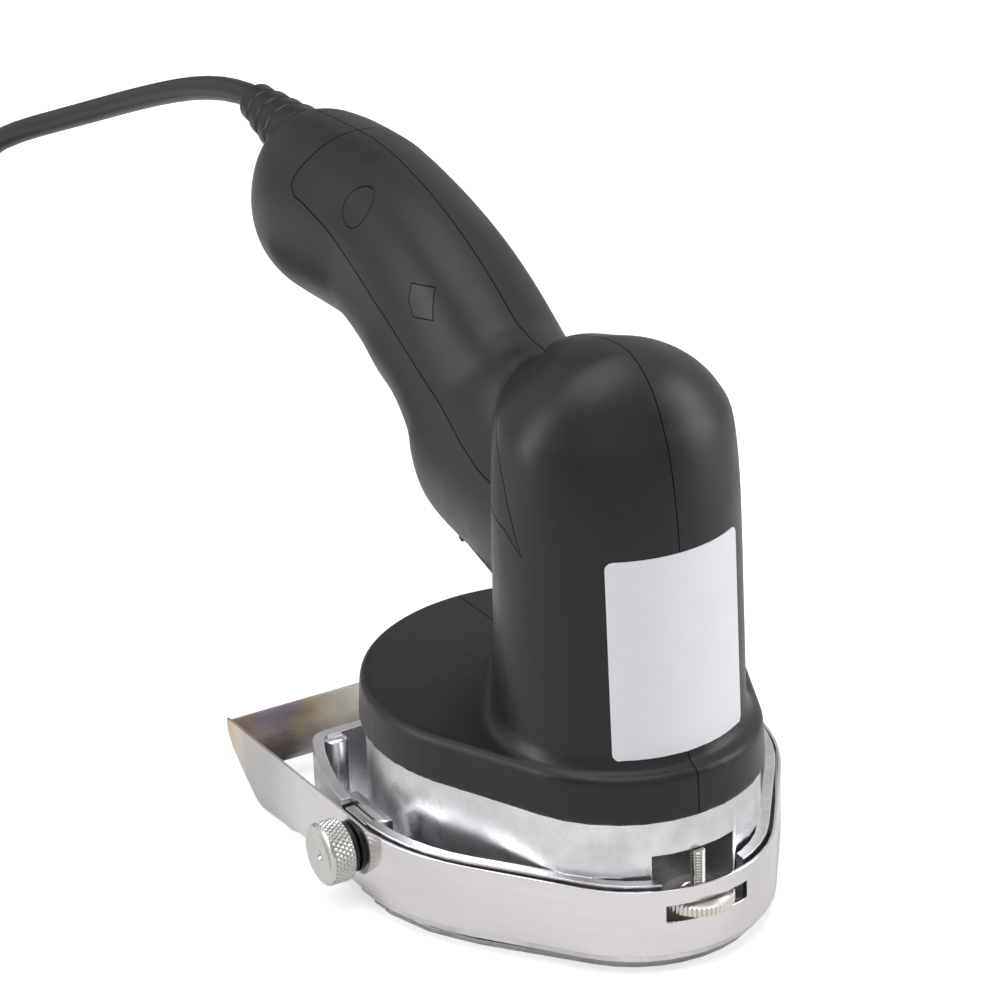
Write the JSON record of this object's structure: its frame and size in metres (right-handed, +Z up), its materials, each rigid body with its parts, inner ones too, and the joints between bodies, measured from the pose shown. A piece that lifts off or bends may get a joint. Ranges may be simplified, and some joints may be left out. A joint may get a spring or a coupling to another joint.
{
  "type": "electric kebab slicer",
  "caption": "Hand-held electric kebab slicer: round blade in a cast housing under a black motor tower, side handle, tilting steel thickness guard and coiled mains cord.",
  "frame": {"origin": "in the flat underside of the shoe plate that the tool stands on, in the tool's middle plane, 62 mm behind the blade's axis", "axes": "+Z up, along the blade's axis and away from the shoe plate, +X from the motor tower towards the handle's end and the guard's open mouth, +Y to the left of someone who looks along +X"},
  "size_m": [0.4113, 0.2229, 0.1745],
  "materials": {
    "black_plastic": "fine grained moulding",
    "soft_grip": "satin soft touch",
    "cast_metal": "tumbled die casting",
    "sheet_steel": "bright rolled sheet",
    "blade_steel": "ground",
    "turned_steel": "turned and nickel plated",
    "gear_steel": "hardened and oiled",
    "motor_steel": "zinc plated",
    "magnet_ferrite": "sintered ferrite",
    "brass": "sintered bronze",
    "moulded_black": "plain moulding",
    "rocker_gloss": "polished",
    "board_green": "solder masked",
    "cord_plastic": "satin PVC"
  },
  "bodies": {
    "base": {"adjuster_stud": "turned_steel", "clamp_screw_1": "turned_steel", "clamp_screw_2": "turned_steel", "control_board": "board_green", "cord": "cord_plastic", "cord_clamp": "moulded_black", "cord_coil": "cord_plastic", "cover_screw_1": "turned_steel", "cover_screw_2": "turned_steel", "front_magnet": "magnet_ferrite", "gear_housing": "cast_metal", "gear_plate": "cast_metal", "left_grip": "soft_grip", "left_guard_nut": "turned_steel", "left_shell": "black_plastic", "lower_bearing": "gear_steel", "motor_can": "motor_steel", "motor_end_cap": "moulded_black", "motor_lower_bearing": "brass", "motor_screw_1": "turned_steel", "motor_screw_2": "turned_steel", "motor_upper_bearing": "brass", "plate_screw_1": "turned_steel", "plate_screw_2": "turned_steel", "plate_screw_3": "turned_steel", "plate_screw_4": "turned_steel", "plug_body": "cord_plastic", "rear_magnet": "magnet_ferrite", "right_grip": "soft_grip", "right_guard_nut": "turned_steel", "right_shell": "black_plastic", "screw_plug_1": "soft_grip", "screw_plug_2": "soft_grip", "shell_screw_1": "turned_steel", "shell_screw_2": "turned_steel", "shell_screw_3": "turned_steel", "shoe_plate": "blade_steel", "shoe_screw_1": "turned_steel", "shoe_screw_2": "turned_steel", "shoe_screw_3": "turned_steel", "shoe_screw_4": "turned_steel", "strain_relief": "cord_plastic", "switch_body": "moulded_black", "upper_bearing": "gear_steel"},
    "cutter": {"spindle": "turned_steel", "drive_gear": "gear_steel", "blade": "blade_steel", "blade_flange": "turned_steel", "blade_nut": "turned_steel", "spindle_clip": "turned_steel"},
    "rotor": {"motor_rotor": "motor_steel", "motor_pinion": "gear_steel"},
    "guard": {"guard": "sheet_steel"},
    "wheel": {"adjuster_wheel": "turned_steel"},
    "left_screw": {"left_thumbscrew": "turned_steel", "left_washer": "soft_grip"},
    "right_screw": {"right_thumbscrew": "turned_steel", "right_washer": "soft_grip"},
    "rocker": {"switch_rocker": "rocker_gloss"}
  },
  "joints": [
    {"name": "motor_spin", "type": "hinge", "parent": "base", "child": "rotor", "pos_m": [0.026, 0, 0.06], "axis": [0, 0, 1], "continuous": true},
    {"name": "blade_spin", "type": "hinge", "parent": "base", "child": "cutter", "pos_m": [0.062, 0, 0.03], "axis": [0, 0, 1], "continuous": true},
    {"name": "wheel_turn", "type": "hinge", "parent": "guard", "child": "wheel", "pos_m": [-0.0085, 0, 0.0171], "axis": [0, 0, 1], "range_deg": [0, 3240]},
    {"name": "guard_tilt", "type": "hinge", "parent": "base", "child": "guard", "pos_m": [0.066, 0, 0.015], "axis": [0, 1, 0], "range_deg": [0, 4.85]},
    {"name": "left_screw_turn", "type": "hinge", "parent": "base", "child": "left_screw", "pos_m": [0.066, 0.066, 0.015], "axis": [0, 1, 0], "range_deg": [0, 450]},
    {"name": "right_screw_turn", "type": "hinge", "parent": "base", "child": "right_screw", "pos_m": [0.066, -0.066, 0.015], "axis": [0, -1, 0], "range_deg": [0, 450]},
    {"name": "switch_rock", "type": "hinge", "parent": "base", "child": "rocker", "pos_m": [0.0911, 0, 0.08331], "axis": [0, -1, 0], "range_deg": [0, 14]}
  ],
  "couplings": [
    {"joint": "blade_spin", "follows": "motor_spin", "ratio": -0.2},
    {"joint": "guard_tilt", "follows": "wheel_turn", "ratio": 0.001496}
  ]
}
